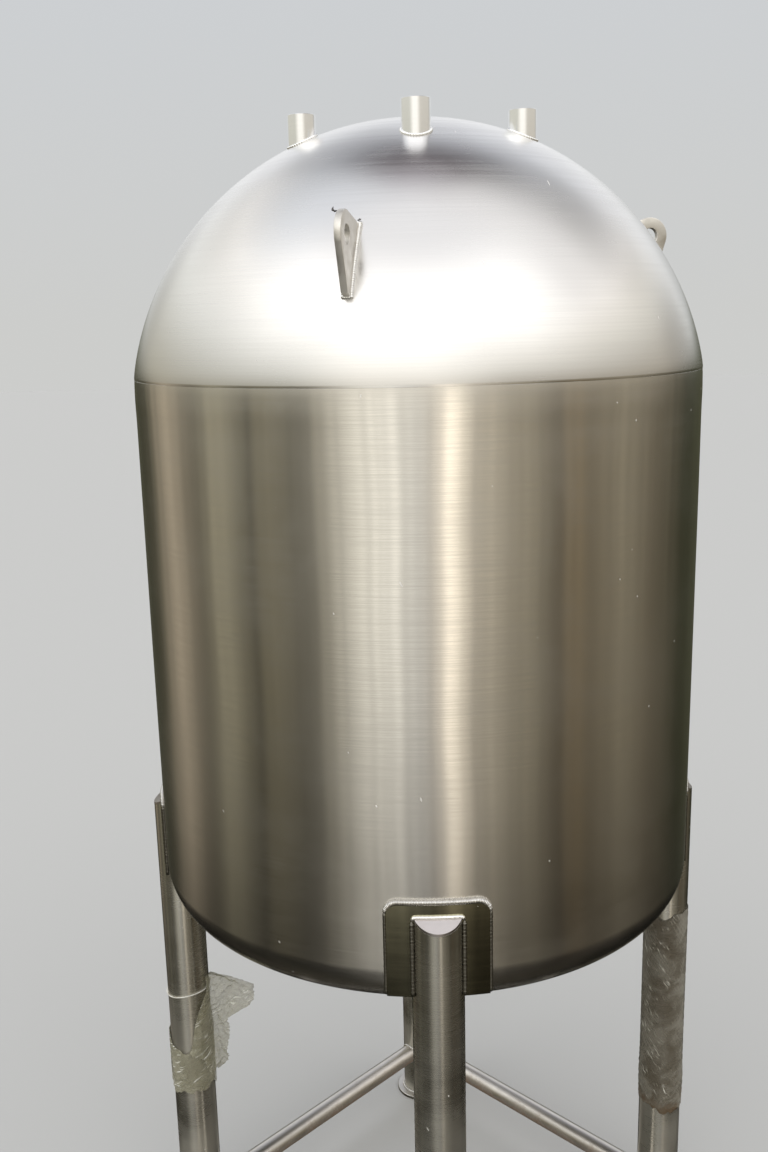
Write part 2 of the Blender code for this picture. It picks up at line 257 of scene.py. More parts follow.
# Marks of handling and weather: pale specks, short scratches, broad hazy smudges and grime.
inputs = {"Specks": "Float", "Scratches": "Float"}
marks, given, wanted = group("handling_marks", inputs, ["Speck", "Scratch", "Smudge"])
place = object_place(marks)
cells = node(marks, "TexVoronoi", {"Vector": place, "Scale": 24.0}).outputs
chance = node(marks, "SeparateColor", {"Color": cells["Color"]}).outputs
dot = math("LESS_THAN", cells["Distance"], math("MULTIPLY", chance[1], 0.026))
kept = math("LESS_THAN", chance[0], given.outputs["Specks"])
swayed = vector("MULTIPLY_ADD", noise(place, 9.0, 2.0)["Color"], (0.05, 0.05, 0.05), place)
pulled = vector("MULTIPLY", rotated(swayed, (0.5, 0.35, 0.2)), (46.0, 46.0, 6.0))
dashes = node(marks, "TexVoronoi", {"Vector": pulled, "Scale": 1.0}).outputs
rare = node(marks, "SeparateColor", {"Color": dashes["Color"]}).outputs
line = math("LESS_THAN", dashes["Distance"], 0.045)
few = math("LESS_THAN", rare[0], given.outputs["Scratches"])
haze = noise(place, 5.0, 5.0, 0.6, 0.4)[0]
feed(wanted, {"Speck": math("MULTIPLY", dot, kept), "Scratch": math("MULTIPLY", line, few)})
feed(wanted, {"Smudge": spread(haze, 0.38, 0.68)})


def soiled(material, colour, share):
    """Dried soil or rust over a steel: its colour, dull and not metallic, where the share is high."""
    shader = material.node_tree.nodes["Principled BSDF"]
    before = [shader.inputs[key].links[0].from_socket for key in ("Base Color", "Metallic", "Roughness")]
    bare = math("MULTIPLY_ADD", share, -0.85, 1.0, clamp=True)
    feed(shader, {"Base Color": mixed(share, before[0], colour)})
    feed(shader, {"Metallic": math("MULTIPLY", before[1], bare)})
    feed(shader, {"Roughness": math("MULTIPLY_ADD", share, 0.35, before[2], clamp=True)})


def steel(name, colour, roughness, stretch, relief, drawn_out=0.0, tone=0.05, specks=0.25, scratches=0.2):
    """Stainless steel whose grain, specks, scratches and smudges vary its colour, roughness and relief."""
    material, tree, shader = new_material(name)
    lines = node(tree, "Group", {"Stretch": stretch}, node_tree=grain).outputs
    wear = node(tree, "Group", {"Specks": specks, "Scratches": scratches}, node_tree=marks).outputs
    dark = tuple((1.0 - tone) * c for c in colour)
    dulled = math("MULTIPLY", wear["Smudge"], 0.35)
    dulled = mixed(dulled, mixed(lines["Tone"], dark, colour), dark)
    marked = math("MAXIMUM", wear["Speck"], math("MULTIPLY", wear["Scratch"], 0.6))
    rough = math("MULTIPLY_ADD", lines["Tone"], -0.04, roughness + 0.02)
    rough = math("MULTIPLY_ADD", wear["Smudge"], 0.04, rough)
    finish = {
        "Base Color": mixed(marked, dulled, (0.92, 0.90, 0.86)),
        "Metallic": math("MULTIPLY_ADD", marked, -0.75, 1.0, clamp=True),
        "Roughness": math("MULTIPLY_ADD", marked, 0.3, rough, clamp=True),
        "Anisotropic": drawn_out,
        "Anisotropic Rotation": 0.25,
        "Normal": bumped(lines["Height"], relief),
    }
    feed(shader, finish)
    return material


def weld_steel(name, colour, roughness, grit, relief, tone):
    """Steel as a weld leaves it, even in every direction, with no specks or scratches."""
    return steel(name, colour, roughness, (grit, grit, grit), relief, tone=tone, specks=0.0, scratches=0.0)


round_steps = 288
brushed = steel(
    "brushed_shell", (0.665, 0.64, 0.595), 0.185, (12.0, 12.0, 900.0), 0.000009,
    drawn_out=0.92, tone=0.06, specks=0.5,
)
eased = 0.0001
profile = [
    (shell_radius, shell_bottom),
    (shell_radius, seam_height - 0.9 * eased),
    (shell_radius - eased, seam_height),
    (shell_radius - wall, seam_height),
    (shell_radius - wall, shell_bottom),
    (shell_radius, shell_bottom),
]
rings = revolve(resampled(profile, 0.006)[:-1], round_steps)
around = np.arctan2(rings[..., 1], rings[..., 0])
below_seam = seam_height - rings[..., 2]
# The plate is drawn in at the seam's weld and waves by a fraction of a millimetre, mostly near the seam.
valley = -0.0007 * np.exp(-below_seam / 0.007) + 0.0004 * np.exp(-(((below_seam - 0.034) / 0.018) ** 2))
waves = (
    0.00022 * np.sin(5 * around + 1.3) * np.sin(9.0 * below_seam + 0.4)
    + 0.00012 * np.sin(13 * around + 0.5) * np.cos(21.0 * below_seam)
    + 0.00045 * np.exp(-((below_seam / 0.13) ** 2)) * np.sin(9 * around + 0.8)
    + valley
) * np.clip((rings[..., 2] - shell_bottom) / 0.12, 0.0, 1.0) ** 2
outward = np.stack([np.cos(around), np.sin(around), np.zeros_like(around)], -1)
rings = rings + outward * waves[..., None]
piece("shell_plate", surface(rings, around=True, along=True), brushed, ["shell"])

# The top head is a deep dome, satin polished, with a tight knuckle at its rim.
# The pipe stubs pass through round holes in it, and its rim meets the shell at a fine open seam.
crown_radius = 0.4636
knuckle = 0.0238
rise_to_centre = np.sqrt((crown_radius - knuckle) ** 2 - (shell_radius - knuckle) ** 2)
crown_centre = seam_height + gap - rise_to_centre
stub_radius = 0.0211
stub_bore = 0.0194
stub_boxes = {name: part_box(f"nozzle_{name}") for name in ("left", "front", "right")}
stub_places = {name: ((lo.x + hi.x) / 2, (lo.y + hi.y) / 2) for name, (lo, hi) in stub_boxes.items()}


def head_profile(crown, rim, offset, rim_steps, crown_steps):
    """A dished head's section from its rim, at height 0, up to its apex, as rows of (radius, height).

    The rim is an arc about a centre inside the wall, and the crown is an arc about a point on the axis.
    They meet where their tangents agree, on the line through both centres.
    """
    drop = np.sqrt((crown - rim) ** 2 - (shell_radius - rim) ** 2)
    meeting = np.arctan2(drop, shell_radius - rim)
    low = np.linspace(0.0, meeting, rim_steps + 1)
    high = np.linspace(meeting, np.pi / 2, crown_steps + 1)[1:]
    rim_arc = np.stack([shell_radius - rim + (rim + offset) * np.cos(low), (rim + offset) * np.sin(low)], -1)
    crown_arc = np.stack([(crown + offset) * np.cos(high), (crown + offset) * np.sin(high) - drop], -1)
    crown_arc[-1, 0] = 0.0
    return np.concatenate([rim_arc, crown_arc])


def crown_point(x, y, offset=0.0):
    """Height of the dome's outside, or of a surface that far off it, above a point of the plan."""
    return crown_centre + np.sqrt((crown_radius + offset) ** 2 - x**2 - y**2)


outer = head_profile(crown_radius, knuckle, 0.0, 24, 90)
inner = head_profile(crown_radius, knuckle, -wall, 4, 40)
seam_draw, seam_reach, seam_hair = 0.0009, 0.0065, 0.00002
outer[:, 0] -= seam_draw * np.exp(-outer[:, 1] / seam_reach)
section = np.concatenate([inner[::-1], outer]) + (0.0, seam_height + seam_hair)
dome = bpy.data.objects.new("dome", surface(revolve(section, round_steps), around=True))
bpy.context.scene.collection.objects.link(dome)
drills = []
drill_top = 2.2
drill_line = [(0.0, seam_height), (stub_radius, seam_height), (stub_radius, drill_top), (0.0, drill_top)]
for x, y in stub_places.values():
    cutter = bpy.data.objects.new("drill", surface(revolve(drill_line, 64) + (x, y, 0.0), around=True))
    bpy.context.scene.collection.objects.link(cutter)
    drills.append(cutter)
    cut = dome.modifiers.new("hole", "BOOLEAN")
    cut.operation, cut.solver, cut.object = "DIFFERENCE", "MANIFOLD", cutter
bpy.context.view_layer.update()
holed = bpy.data.meshes.new_from_object(dome.evaluated_get(bpy.context.evaluated_depsgraph_get()))
for helper in [dome, *drills]:
    bpy.data.objects.remove(helper, do_unlink=True)
holed.shade_smooth()
holed.set_sharp_from_angle(angle=np.radians(sharp_fold))
polished = steel(
    "polished_dome", (0.665, 0.65, 0.63), 0.23, (2.5, 2.5, 420.0), 0.000004,
    drawn_out=0.35, tone=0.015, specks=0.1,
)
piece("top_dome", holed, polished, ["top_head"])

# The bottom head is a dished stainless plate with a soft knuckle. No seam shows where it joins the shell.
# Only its outer part is seen, and the rest follows from that outline.
dish_radius = 0.8746
dish_knuckle = 0.0713
outer = head_profile(dish_radius, dish_knuckle, 0.0, 40, 60)
inner = head_profile(dish_radius, dish_knuckle, -wall, 12, 24)
section = np.concatenate([inner[::-1], outer])
section[:, 1] = shell_bottom - section[:, 1]
dish = surface(revolve(section, round_steps), around=True)
piece("bottom_dish", dish, brushed, ["bottom_head"])

# The pipe stubs are short pieces of 42 mm pipe, turned smooth, cut square and welded into the dome with a
# rippled fillet.
piped = steel("turned_pipe", (0.93, 0.935, 0.95), 0.17, (6.0, 6.0, 300.0), 0.000001, tone=0.02, specks=0.05)
welded = weld_steel("weld_bead", (0.64, 0.625, 0.60), 0.27, 160.0, 0.00008, 0.2)
bright_weld = weld_steel("bright_weld", (0.93, 0.925, 0.91), 0.3, 160.0, 0.00004, 0.06)
bead_sides, rings_per_ripple = 8, 5


def bead(path, radius, pitch=0.0023, closed=False, swell=0.12):
    """A weld bead: a tube carried along a path, whose radius swells and falls once every pitch.

    The radius may differ from point to point of the path. The ripple's phase also turns with the angle
    round the bead, so each ripple is a small crescent. An open bead tapers to nothing over its ends.
    """
    path = np.asarray(path, float)
    radius = np.broadcast_to(radius, len(path))
    if closed:
        path, radius = np.vstack([path, path[:1]]), np.append(radius, radius[0])
    run = np.concatenate([[0.0], np.cumsum(np.linalg.norm(np.diff(path, axis=0), axis=1))])
    count = max(24, int(run[-1] / pitch * rings_per_ripple))
    at = np.linspace(0.0, run[-1], count, endpoint=not closed)
    line = np.stack([np.interp(at, run, path[:, k]) for k in range(3)], -1)
    ahead = np.roll(line, -1, 0) - np.roll(line, 1, 0) if closed else np.gradient(line, axis=0)
    ahead /= np.linalg.norm(ahead, axis=1, keepdims=True)
    side = np.cross(ahead, line - (0.0, 0.0, crown_centre))
    side /= np.linalg.norm(side, axis=1, keepdims=True)
    over = np.cross(side, ahead)
    angle = full_turn(bead_sides)
    ripples = round(run[-1] / pitch) if closed else run[-1] / pitch
    phase = 2 * np.pi * ripples * at / run[-1]
    ripple = swell * np.sin(phase[:, None] + 1.1 * np.sin(angle)) + 0.05 * np.sin(0.37 * phase + 1.0)[:, None]
    size = np.interp(at, run, radius)[:, None] * (1.0 + ripple)
    if not closed:
        size = size * np.clip(np.minimum(at, run[-1] - at) / 0.004, 0.02, 1.0)[:, None] ** 0.5
    ring = np.cos(angle)[:, None] * side[:, None] + np.sin(angle)[:, None] * over[:, None]
    points = line[:, None] + size[..., None] * ring
    if not closed:
        first, last = (np.broadcast_to(line[k], points[:1].shape) for k in (0, -1))
        points = np.concatenate([first, points, last])
    return surface(points, around=True, along=closed, sharp=80.0)


ease = 0.0004
for name, (x, y) in stub_places.items():
    low, high = stub_boxes[name]
    profile = [
        (stub_bore + ease, high.z),
        (stub_radius - ease, high.z),
        (stub_radius, high.z - ease),
        (stub_radius, low.z),
        (stub_bore, low.z),
        (stub_bore, high.z - ease),
        (stub_bore + ease, high.z),
    ]
    tube = revolve(resampled(profile, 0.02)[:-1], 72) + (x, y, 0.0)
    stub = surface(tube, around=True, along=True)
    piece(f"stub_{name}", stub, piped, [f"nozzle_{name}"])
    angle = full_turn(120)
    toe = stub_radius + 0.0004
    plan = np.stack([x + toe * np.cos(angle), y + toe * np.sin(angle)], -1)
    ring = np.column_stack([plan, crown_point(plan[:, 0], plan[:, 1], 0.0006)])
    fillet = bead(ring, 0.0019, pitch=0.0036, closed=True, swell=0.25)
    piece(f"stub_weld_{name}", fillet, bright_weld, [f"nozzle_weld_{name}"])

# The lifting lugs are cut from 9.5 mm plate, each with a round eye, and stand on the dome on edge with a
# weld down both sides of the root. The rear one is a guess.
lug_places = {"front": (-14.0, 31.5), "right": (104.4, 34.4), "rear": (226.0, 33.0)}
lug_half = 0.00475
lug_eye_radius = 0.0305
lug_hole_radius = 0.0127
root_radius = crown_radius + gap
eye_radius = root_radius + 0.0425
root_from, root_to, tip_depth = -5.8, 7.7, 0.0135
cut_plate = steel("cut_plate", (0.68, 0.655, 0.61), 0.30, (60.0, 60.0, 90.0), 0.00001, specks=0.2)
tree = cut_plate.node_tree
dust = noise(object_place(tree), 60.0, 3.0)[0]
soiled(cut_plate, (0.48, 0.45, 0.40), spread(dust, 0.3, 0.7, 0.12, 0.40))


def around_lug(degrees_below, distance, elevation):
    """A point of a lug's upright plane, by its turn below the eye and distance from the crown's centre."""
    turn = np.radians(elevation - np.asarray(degrees_below, float))
    return np.stack([distance * np.cos(turn), crown_centre + distance * np.sin(turn)], -1)


def lug_edge(elevation):
    """The lug's outline, closed, as rows of (distance from the axis, height), counted round its eye.

    It runs down the root on the dome, out across the square tip, straight to the round eye on the line
    that touches it, round the eye, and back along the other touching line.
    """
    eye_at = around_lug(0.0, eye_radius, elevation)
    root = around_lug(np.linspace(root_from, root_to, 40), root_radius, elevation)
    tip = around_lug(root_to, root_radius + tip_depth, elevation)

    def touching(point, side):
        """The angle on the eye's circle where a line from the point touches it."""
        away = point - eye_at
        return np.arctan2(away[1], away[0]) + side * np.arccos(lug_eye_radius / np.hypot(*away))

    low, high = touching(tip, 1.0), touching(root[0], -1.0)
    high += 2 * np.pi * (high < low)
    turn = np.linspace(low, high, 60)
    round_end = eye_at + lug_eye_radius * np.stack([np.cos(turn), np.sin(turn)], -1)
    outline = np.concatenate([root, tip[None], round_end, root[:1]])
    return resampled(outline, 0.0025)[:-1], eye_at


def off_plane(x, flat):
    """Points of a lug's upright plane, moved x to its side."""
    return np.column_stack([np.full(len(flat), x), -flat[:, 0], flat[:, 1]])


ease, roll, weld_stand = 0.0008, 0.0016, 0.0010
for name, (azimuth, elevation) in lug_places.items():
    outline, eye_at = lug_edge(elevation)
    away = outline - eye_at
    hole = eye_at + lug_hole_radius * away / np.linalg.norm(away, axis=1, keepdims=True)
    inward = -away / np.linalg.norm(away, axis=1, keepdims=True)
    loops = [
        (hole, -lug_half + ease),
        (hole - inward * ease, -lug_half),
        (outline + inward * roll, -lug_half),
        (outline + inward * 0.3 * roll, -lug_half + 0.3 * roll),
        (outline, -lug_half + roll),
        (outline, lug_half - roll),
        (outline + inward * 0.3 * roll, lug_half - 0.3 * roll),
        (outline + inward * roll, lug_half),
        (hole - inward * ease, lug_half),
        (hole, lug_half - ease),
    ]
    points = np.stack([off_plane(x, flat) for flat, x in loops])
    plate = surface(turned_to(points, azimuth), around=True, along=True, sharp=25.0)
    piece(f"lug_{name}", plate, cut_plate, [f"lifting_lug_{name}"])
    down = around_lug(np.linspace(root_from, root_to, 60), root_radius + 0.0006, elevation)
    side = lug_half + weld_stand
    seam = turned_to(np.concatenate([off_plane(-side, down), off_plane(side, down[::-1])]), azimuth)
    weight = np.concatenate([np.full(60, 0.0022), np.linspace(0.0024, 0.0036, 60)])
    root_weld = bead(seam, weight, pitch=0.0032, closed=True, swell=0.18)
    piece(f"lug_weld_{name}", root_weld, bright_weld)

# Two dark crumbs sit on the front lug: a hook at the top of its eye, and a tack at the upper end of its
# root.
burnt = weld_steel("burnt_spatter", (0.20, 0.19, 0.19), 0.42, 300.0, 0.0001, 0.5)
azimuth, elevation = lug_places["front"]
eye_at = around_lug(0.0, eye_radius, elevation)
hook = [
    (-0.0030, -0.012, 0.0275), (-0.0065, -0.013, 0.0268),
    (-0.0098, -0.014, 0.0285), (-0.0085, -0.013, 0.0325),
]
hook_line = np.array(hook) + (0.0, -eye_at[0], eye_at[1])
tack_at = around_lug(-6.3, root_radius + 0.002, elevation)
tack_line = np.array([[0.002, -tack_at[0], tack_at[1]], [0.0075, -tack_at[0] - 0.001, tack_at[1] + 0.0015]])
crumbs = [bead(turned_to(resampled(hook_line, 0.001), azimuth), 0.0013, pitch=0.003, swell=0.2)]
crumbs.append(bead(turned_to(resampled(tack_line, 0.001), azimuth), 0.0016, pitch=0.003, swell=0.3))
piece("lug_spatter", joined(crumbs), burnt)

# The backing pads are rolled plates with round upper corners, mirror polished, and darker than the shell.
# Their dark olive colour is partly a painted reflection of the dark ground that they mirror.
# A rippled bead runs up both sides and, thicker, across the top.
legs = {"front": 0.0, "right": 90.0, "back": 180.0, "left": 270.0}
pad_low, pad_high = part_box("leg_pad_front")
pad_half = pad_high.x
pad_corner = 0.0165
pad_outer = shell_radius + gap + 0.0048
# Dark olive steel: the colour is partly a painted reflection of the dark ground round the tank.
mirrored = steel(
    "mirror_pad", (0.36, 0.335, 0.225), 0.085, (9.0, 9.0, 420.0), 0.000003,
    drawn_out=0.3, tone=0.06, specks=0.08,
)


def on_shell(across, height, radius):
    """Points at a distance across the front of the shell, measured straight, and at a height."""
    turn = np.arcsin(across / shell_radius)
    return np.stack(np.broadcast_arrays(radius * np.sin(turn), -radius * np.cos(turn), height), -1)


ease = 0.0008
arc = np.linspace(0.0, np.pi / 2, 14)
straight = pad_half - pad_corner
corner_run = straight + (pad_corner - ease) * np.sin(arc)
half_run = np.concatenate([np.linspace(0.0, straight, 14)[:-1], corner_run, [pad_half]])
half_top = pad_high.z - np.concatenate([np.zeros(13), (pad_corner - ease) * (1 - np.cos(arc)), [pad_corner]])
half_face = np.append(np.full(len(half_run) - 1, pad_outer), pad_outer - ease)


def mirrored_run(values, sign=1):
    """A run from the middle outward, continued on the other side, as a column."""
    return np.concatenate([sign * values[:0:-1], values])[:, None]


across, top, face = mirrored_run(half_run, -1), mirrored_run(half_top), mirrored_run(half_face)
inner_face = shell_radius + gap
rises = np.linspace(0.0, 1.0, 25)
up_face = pad_low.z + ease + rises * (top - pad_low.z - 2 * ease)
foot_edge, back_face = np.full_like(top, pad_low.z), np.full_like(top, inner_face)
edge_face = np.minimum(face, pad_outer - ease)
loop_height = np.hstack([up_face, top, top, up_face[:, ::-1], foot_edge, foot_edge])
front_face, whole_back = np.broadcast_to(face, up_face.shape), np.full_like(up_face, inner_face)
loop_radius = np.hstack([front_face, edge_face, back_face, whole_back, back_face, edge_face])
pad_points = on_shell(across, loop_height, loop_radius)
middle = (inner_face + pad_outer - ease) / 2
ends = [on_shell(across[k], loop_height[k : k + 1], middle) for k in (0, -1)]
pad_points = np.concatenate([ends[0], pad_points, ends[1]])


def arch(half, top, corner, bend, step):
    """An arch seen from the front: round its left corner, across the top and round the right corner."""
    left = np.stack([-half + corner * (1 - np.cos(bend)), top - corner * (1 - np.sin(bend))], -1)
    left = np.concatenate([left, [[0.0, top]]])
    return resampled(np.concatenate([left, left[-2::-1] * (-1, 1)]), step)


bead_half, bead_top, bead_corner = pad_half + 0.0014, pad_high.z + 0.0012, pad_corner + 0.0014
bead_seat = shell_radius + 0.0022
climb = np.linspace(pad_low.z + 0.001, bead_top - bead_corner + 0.002, 40)
side_line = on_shell(np.full(40, -bead_half), climb, bead_seat)
top_line = arch(bead_half, bead_top, bead_corner, arc, 0.003)
above = np.clip((top_line[:, 1] - (bead_top - bead_corner)) / (0.75 * bead_corner), 0.0, 1.0)
top_bead = on_shell(top_line[:, 0], top_line[:, 1], bead_seat + 0.0004 * above)
# The beads up the sides of the pads and legs, and under the dish, are given a dark colour.
dark_weld = weld_steel("side_weld", (0.18, 0.17, 0.145), 0.28, 200.0, 0.0001, 0.4)
for name, azimuth in legs.items():
    pad = surface(turned_to(pad_points, azimuth), around=True, sharp=30.0)
    piece(f"pad_{name}", pad, mirrored, [f"leg_pad_{name}"])
    top_weld = bead(turned_to(top_bead, azimuth), 0.0030 + 0.0011 * above, swell=0.10)
    piece(f"pad_weld_{name}", top_weld, welded)
    sides = [side_line, side_line * (-1, 1, 1)]
    beads = [bead(turned_to(line, azimuth), 0.0028, swell=0.06) for line in sides]
    piece(f"pad_side_weld_{name}", joined(beads), dark_weld)

# The legs are 76 mm polished tube, cut to fit round the pad and the dished bottom. A sloping half-moon
# plate closes the part that stands out from the pad, and rippled beads run down both sides.
leg_radius = 0.0381
leg_wall = 0.003
leg_circle = 0.4449
leg_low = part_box("leg_front")[0]
cap_thickness = 0.004
cap_inner_height, cap_outer_height = 0.9503, 0.9366
cap_slope = (cap_inner_height - cap_outer_height) / (leg_circle + leg_radius - pad_outer)
tubing = steel("ringed_tube", (0.61, 0.59, 0.53), 0.23, (6.0, 6.0, 500.0), 0.000002, drawn_out=0.8, tone=0.07)
tree = tubing.node_tree
place = object_place(tree)
patches = noise(place, 9.0, 3.0)[0]
low_down = math("MULTIPLY_ADD", node(tree, "SeparateXYZ", {0: place}).outputs[2], -1.1, 1.0)
dirty = math("MULTIPLY", spread(patches, 0.25, 0.85), math("MULTIPLY", low_down, 0.5), clamp=True)
soiled(tubing, (0.12, 0.10, 0.06), dirty)
capped = steel(
    "cut_cap", (0.54, 0.50, 0.485), 0.32, (60.0, 60.0, 60.0), 0.00003, tone=0.04, specks=0.1, scratches=0.1
)


def dish_height(radius):
    """Height of the dished bottom's outside, at a distance from the axis."""
    drop = np.sqrt((dish_radius - dish_knuckle) ** 2 - (shell_radius - dish_knuckle) ** 2)
    edge_radius = shell_radius - dish_knuckle
    reach = edge_radius + dish_knuckle * np.cos(np.arctan2(drop, edge_radius))
    crown = drop - np.sqrt(np.maximum(dish_radius**2 - radius**2, 0.0))
    rim = -np.sqrt(np.maximum(dish_knuckle**2 - (radius - edge_radius) ** 2, 0.0))
    return shell_bottom + np.where(radius < reach, crown, rim)


def cap_height(radius):
    """Height of the sloping cap's top, at a distance from the axis."""
    return cap_inner_height - cap_slope * (radius - pad_outer)


def leg_top(x, y):
    """Where the leg's tube ends above a point of the plan: at the cap, the pad's lower edge or the dish."""
    radius = np.hypot(x, y)
    under_dish = np.where(radius < shell_radius, dish_height(np.minimum(radius, shell_radius)), pad_low.z)
    under_pad = np.minimum(under_dish, pad_low.z) - gap
    return np.where(radius > pad_outer, cap_height(radius) - cap_thickness, under_pad)


turn = full_turn(160)
leg_rows = []
leg_skins = [(leg_radius, np.linspace(0.0, 1.0, 24)), (leg_radius - leg_wall, np.linspace(1.0, 0.0, 12))]
for radius, rises in leg_skins:
    x, y = radius * np.cos(turn), radius * np.sin(turn) - leg_circle
    top = leg_top(x, y)
    height = leg_low.z + rises[:, None] * (top - leg_low.z)
    leg_rows.append(np.stack(np.broadcast_arrays(x, y, height), -1))
leg_points = np.concatenate(leg_rows)

half_angle = np.arccos((pad_outer**2 - leg_circle**2 - leg_radius**2) / (2 * leg_circle * leg_radius))
fan = np.linspace(-half_angle, half_angle, 61)
rim_x, rim_y = leg_radius * np.sin(fan), -leg_circle - leg_radius * np.cos(fan)
chord_turn = np.linspace(-1.0, 1.0, 61) * np.arcsin(rim_x[-1] / pad_outer)
chord_x, chord_y = pad_outer * np.sin(chord_turn), -pad_outer * np.cos(chord_turn)
share = np.linspace(0.0, 1.0, 9)[:, None]
cap_x, cap_y = chord_x + share * (rim_x - chord_x), chord_y + share * (rim_y - chord_y)
cap_top = np.stack([cap_x, cap_y, cap_height(np.hypot(cap_x, cap_y))], -1)
cap_points = np.concatenate([cap_top, (cap_top - (0.0, 0.0, cap_thickness - gap))[::-1]])

bend = np.linspace(0.0, np.pi / 2, 8)
hood_half, hood_top, hood_corner = rim_x[-1] + 0.0026, cap_inner_height + 0.0010, 0.006
climb = np.linspace(pad_low.z + 0.002, hood_top - hood_corner, 50)
hood = arch(hood_half, hood_top, hood_corner, bend, 0.002)
hood_line = on_shell(hood[:, 0] * shell_radius / pad_outer, hood[:, 1], pad_outer + 0.0010)
flank_line = on_shell(np.full(50, -hood_half) * shell_radius / pad_outer, climb, pad_outer + 0.0010)
cope_x, cope_y = (leg_radius + 0.001) * np.cos(turn), (leg_radius + 0.001) * np.sin(turn) - leg_circle
under = np.hypot(cope_x, cope_y) < shell_radius - 0.004
order = np.argsort(np.where(turn[under] > np.pi, turn[under] - 2 * np.pi, turn[under]))
cope_bead = np.stack([cope_x, cope_y, leg_top(cope_x, cope_y) + 0.0004], -1)[under][order]
for name, azimuth in legs.items():
    tube = surface(turned_to(leg_points, azimuth), around=True, along=True)
    piece(f"tube_{name}", tube, tubing, [f"leg_{name}"])
    cap = surface(turned_to(cap_points, azimuth), along=True, sharp=30.0)
    piece(f"cap_{name}", cap, capped, [f"leg_cap_{name}"])
    hood_weld = bead(turned_to(hood_line, azimuth), 0.0030, swell=0.05)
    piece(f"cap_weld_{name}", hood_weld, bright_weld)
    lines = [(flank_line, 0.0032), (flank_line * (-1, 1, 1), 0.0032), (cope_bead, 0.0025)]
    beads = [bead(turned_to(path, azimuth), radius, swell=0.07) for path, radius in lines]
    piece(f"leg_weld_{name}", joined(beads), dark_weld)

# Each leg stands on a round foot plate, fillet welded round the tube. None of them shows, so the plates
# and their welds are guesses.
foot_low, foot_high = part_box("leg_foot_front")
foot_radius = foot_high.x
ease = 0.0012
foot_profile = [
    (0.0, foot_low.z),
    (foot_radius - ease, foot_low.z),
    (foot_radius, foot_low.z + ease),
    (foot_radius, foot_high.z - ease),
    (foot_radius - ease, foot_high.z),
    (0.0, foot_high.z),
]
foot_points = revolve(resampled(foot_profile, 0.012), 96) + (0.0, -leg_circle, 0.0)
foot_ring = revolve([(leg_radius + 0.0012, foot_high.z + 0.0012)], 120)[0] + (0.0, -leg_circle, 0.0)
footing = steel("foot_plate", (0.50, 0.48, 0.45), 0.36, (60.0, 60.0, 60.0), 0.0001, specks=0.5, scratches=0.6)
for name, azimuth in legs.items():
    foot = surface(turned_to(foot_points, azimuth), around=True)
    piece(f"foot_{name}", foot, footing, [f"leg_foot_{name}"])
    fillet = bead(turned_to(foot_ring, azimuth), 0.003, closed=True)
    piece(f"foot_weld_{name}", fillet, welded)

# The braces are 38 mm tubes low down between neighbouring legs, cut to fit round them and welded. A brown
# stain runs along their undersides.
brace_radius = 0.01905
brace_wall = 0.002
brace_height = 0.105
reach = leg_circle / np.sqrt(2)
braces = {"front_right": 45.0, "right_back": 135.0, "back_left": 225.0, "left_front": 315.0}
turn = full_turn(72)


def brace_rows(radius, shares):
    """Rings round a brace's tube whose ends stop at the legs' round sides.

    Where the tube lies off the leg's middle plane by d, it stops short of the leg's axis by the square
    root of the leg's radius squared less d squared.
    """
    off, up = radius * np.sin(turn), radius * np.cos(turn)
    end = reach - np.sqrt((leg_radius + gap) ** 2 - off**2)
    along = shares[:, None] * end
    return np.stack(np.broadcast_arrays(along, off - reach, up + brace_height), -1)


shares = np.linspace(-1.0, 1.0, 40)
brace_inside = brace_rows(brace_radius - brace_wall, shares[::-1])
brace_points = np.concatenate([brace_rows(brace_radius, shares), brace_inside])
collar = brace_rows(brace_radius + 0.0009, np.array([-1.0, 1.0]))
stained = steel("brace_tube", (0.56, 0.53, 0.49), 0.3, (40.0, 40.0, 40.0), 0.00003, specks=0.6, scratches=0.5)
tree = stained.node_tree
place = object_place(tree)
patches = noise(place, 30.0, 6.0, 0.7)[0]
under = math("SUBTRACT", brace_height, node(tree, "SeparateXYZ", {0: place}).outputs[2])
damp = math("MULTIPLY_ADD", patches, 0.05, math("ADD", under, -0.018))
soiled(stained, (0.20, 0.125, 0.07), math("MULTIPLY", spread(damp, -0.006, 0.016), 0.8))
for name, azimuth in braces.items():
    tube = surface(turned_to(brace_points, azimuth), around=True, along=True)
    piece(f"brace_tube_{name}", tube, stained, [f"brace_{name}"])
    beads = [bead(turned_to(ring, azimuth), 0.0022, closed=True) for ring in collar]
    piece(f"brace_weld_{name}", joined(beads), welded)

# Old stretch film still clings to two legs. It is clear but hazy, thin and full of creases, and it has torn
# edges: a long sleeve on the right leg, with mud dried into its lower edge, and a short one on the left leg.
right_low, right_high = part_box("film_wrap_right")
left_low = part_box("film_wrap_left")[0]


def creased(across, down, pitch, folds, seed, lean=None):
    """Height of creased film above a smooth sheet, at places across and down it.

    It adds up folds. Each is a triangle wave along its own direction, so the film rises and falls in
    straight runs between sharp creases, and each next fold is finer and lower. With a lean, the folds
    keep near that direction.
    """
    chance = np.random.default_rng(seed)
    height = np.zeros(np.broadcast(across, down).shape)
    for k in range(folds):
        heading = chance.uniform(0.0, np.pi) if lean is None else lean + chance.normal(0.0, 0.22)
        width = pitch * 0.84**k
        beside = across * np.sin(heading) - down * np.cos(heading)
        bow = 0.35 * np.sin(beside / (2.3 * width) + chance.uniform(0, 6))
        run = (across * np.cos(heading) + down * np.sin(heading)) / width + bow + chance.uniform(0, 1)
        height += 0.5 * width / pitch * np.abs(run % 1.0 * 2.0 - 1.0)
    return height / folds


